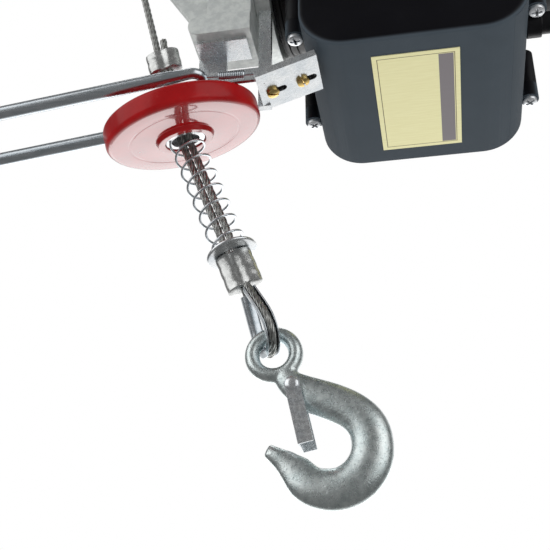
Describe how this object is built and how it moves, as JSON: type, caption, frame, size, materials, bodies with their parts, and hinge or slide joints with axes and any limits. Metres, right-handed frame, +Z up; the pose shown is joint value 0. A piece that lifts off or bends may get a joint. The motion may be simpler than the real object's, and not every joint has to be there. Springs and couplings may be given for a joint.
{
  "type": "electric rope winch",
  "caption": "Compact electric wire rope winch hung from a square bar, with motor, gear case, drum, control box, limit lever and latched hook on a sprung stop disc.",
  "frame": {"origin": "centre of the square hanging bar, midway between the two hanging straps", "axes": "+X along the motor and drum axis towards the motor, +Y to the rear, +Z up"},
  "size_m": [0.342, 0.141, 0.4908],
  "materials": {
    "cast_aluminium": "as cast, satin",
    "zinc_steel": "bright zinc plated",
    "black_paint": "gloss black",
    "black_plastic": "fine satin",
    "label_foil": "gold foil, bare",
    "brass": "turned",
    "red_plastic": "gloss",
    "wire_rope": "galvanised strands",
    "forged_zinc": "zinc plated forging",
    "ferrule_alloy": "pressed aluminium",
    "machined_steel": "machined",
    "core_steel": "laminated",
    "copper": "enamelled copper",
    "grey_paint": "satin",
    "white_plastic": "plain"
  },
  "bodies": {
    "frame": {"gear_case": "cast_aluminium", "case_cover": "cast_aluminium", "drum_end_plate": "cast_aluminium", "tie_rods": "zinc_steel", "tie_nuts": "zinc_steel", "hanging_strap_left": "zinc_steel", "hanging_strap_right": "zinc_steel", "strap_bolts": "zinc_steel", "motor_housing": "black_paint", "stator_core": "core_steel", "stator_winding": "copper", "rear_shield": "cast_aluminium", "brake_plate": "machined_steel", "fan_cover": "black_paint", "lay_bushes": "brass", "rotor_bearings": "machined_steel", "drum_bearings": "machined_steel", "box_cover": "black_plastic", "box_body": "black_plastic", "box_screws": "zinc_steel", "label_plate": "label_foil", "cable_gland": "black_plastic", "capacitor": "white_plastic", "lever_bracket": "zinc_steel", "switch_screws": "brass", "limit_switch": "black_plastic", "lever_spring": "zinc_steel"},
    "drum": {"rope_drum": "grey_paint", "drum_shaft": "machined_steel", "rope_winding": "wire_rope", "rope_clamp": "zinc_steel", "output_gear": "machined_steel"},
    "layshaft": {"lay_shaft": "machined_steel", "lay_gear": "machined_steel"},
    "rotor": {"rotor_shaft": "machined_steel", "rotor_core": "core_steel", "brake_disc": "machined_steel", "cooling_fan": "black_plastic"},
    "lever": {"limit_lever": "zinc_steel", "lever_tail": "zinc_steel"},
    "button": {"switch_button": "white_plastic"},
    "rope_lead": {"falling_rope": "wire_rope"},
    "rope_end": {"rope_pair": "wire_rope", "upper_ferrule": "ferrule_alloy", "lower_ferrule": "ferrule_alloy", "spring_washer": "zinc_steel", "rope_eye": "wire_rope", "thimble": "zinc_steel", "buffer_spring": "machined_steel"},
    "disc": {"limit_disc": "red_plastic", "disc_bush": "zinc_steel"},
    "hook": {"load_hook": "forged_zinc", "latch_rivet": "zinc_steel"},
    "latch": {"safety_latch": "zinc_steel"}
  },
  "joints": [
    {"name": "drum_spin", "type": "hinge", "parent": "frame", "child": "drum", "pos_m": [0, 0, -0.071], "axis": [1, 0, 0], "range_deg": [0, 720]},
    {"name": "layshaft_spin", "type": "hinge", "parent": "frame", "child": "layshaft", "pos_m": [0.06, 0.02057, -0.09], "axis": [1, 0, 0], "range_deg": [-2960, 10]},
    {"name": "rotor_spin", "type": "hinge", "parent": "frame", "child": "rotor", "pos_m": [0.15, 0, -0.109], "axis": [1, 0, 0], "range_deg": [-10, 12060]},
    {"name": "rope_swing", "type": "hinge", "parent": "frame", "child": "rope_lead", "pos_m": [-0.00139, -0.02739, -0.071], "axis": [0, 1, 0], "range_deg": [0, 14]},
    {"name": "hook_lift", "type": "slide", "parent": "rope_lead", "child": "rope_end", "axis": [0.3502, 0, -0.9367], "range_m": [-0.0005, 0.3447], "deforming": ["falling_rope"]},
    {"name": "disc_slide", "type": "slide", "parent": "rope_end", "child": "disc", "axis": [0.3502, 0, -0.9367], "range_m": [0, 0.03], "stiffness_N_per_m": 400, "springref_m": -0.003, "deforming": ["buffer_spring"]},
    {"name": "hook_swing", "type": "hinge", "parent": "rope_end", "child": "hook", "pos_m": [0.09373, -0.02739, -0.39346], "axis": [0, 1, 0], "range_deg": [-45, 45]},
    {"name": "latch_pivot", "type": "hinge", "parent": "hook", "child": "latch", "pos_m": [0.10289, -0.02739, -0.41068], "axis": [0, 1, 0], "range_deg": [-17, 0], "stiffness_Nm_per_rad": 0.02, "springref_deg": 17.19},
    {"name": "lever_tilt", "type": "hinge", "parent": "frame", "child": "lever", "pos_m": [0.0571, -0.02739, -0.2358], "axis": [0, 1, 0], "range_deg": [0, 3.8], "stiffness_Nm_per_rad": 0.4, "springref_deg": -5.73, "deforming": ["lever_spring"]},
    {"name": "button_press", "type": "slide", "parent": "frame", "child": "button", "axis": [0.309, 0, -0.9511], "range_m": [0, 0.0021]}
  ],
  "couplings": [
    {"joint": "layshaft_spin", "follows": "drum_spin", "ratio": -4.0909},
    {"joint": "rotor_spin", "follows": "drum_spin", "ratio": 16.736},
    {"joint": "hook_lift", "follows": "drum_spin", "m_per_rad": 0.027392},
    {"joint": "button_press", "follows": "lever_tilt", "m_per_rad": 0.03}
  ]
}
